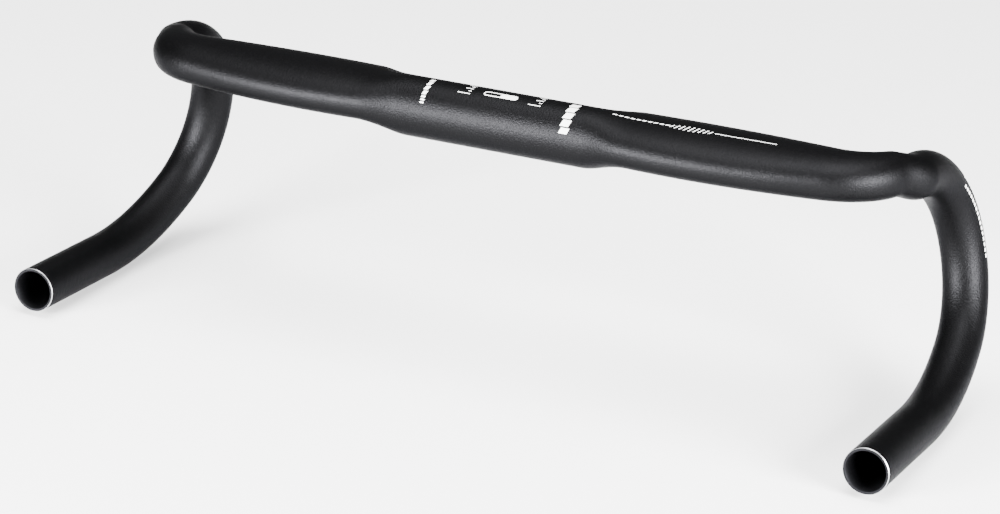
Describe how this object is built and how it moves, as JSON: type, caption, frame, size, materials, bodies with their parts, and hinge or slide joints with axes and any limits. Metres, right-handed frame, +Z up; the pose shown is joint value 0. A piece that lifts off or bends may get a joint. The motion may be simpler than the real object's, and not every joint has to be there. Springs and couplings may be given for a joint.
{
  "type": "drop handlebar",
  "caption": "Road drop handlebar: a bent hollow aluminium tube with a round clamp zone, flattened tops, flared curved hooks and short open-ended drops.",
  "frame": {"origin": "centre of the stem clamp zone, on the tube's axis", "axes": "+X along the bar to the rider's right, +Y the way the bicycle rides, +Z up; the hooks' straight ends point almost along -Y"},
  "size_m": [0.4984, 0.1771, 0.1448],
  "materials": {
    "anodised_tube": "fine bead-blasted, black anodised, matte",
    "white_ink": "thin printed film, matte"
  },
  "bodies": {
    "root": {"bar_tube": "anodised_tube", "centre_badge": "white_ink", "alignment_scale_left": "white_ink", "alignment_scale_right": "white_ink", "end_bars_left": "white_ink", "end_bars_right": "white_ink", "top_stripe_right": "white_ink", "hook_print_right": "white_ink"}
  },
  "joints": []
}
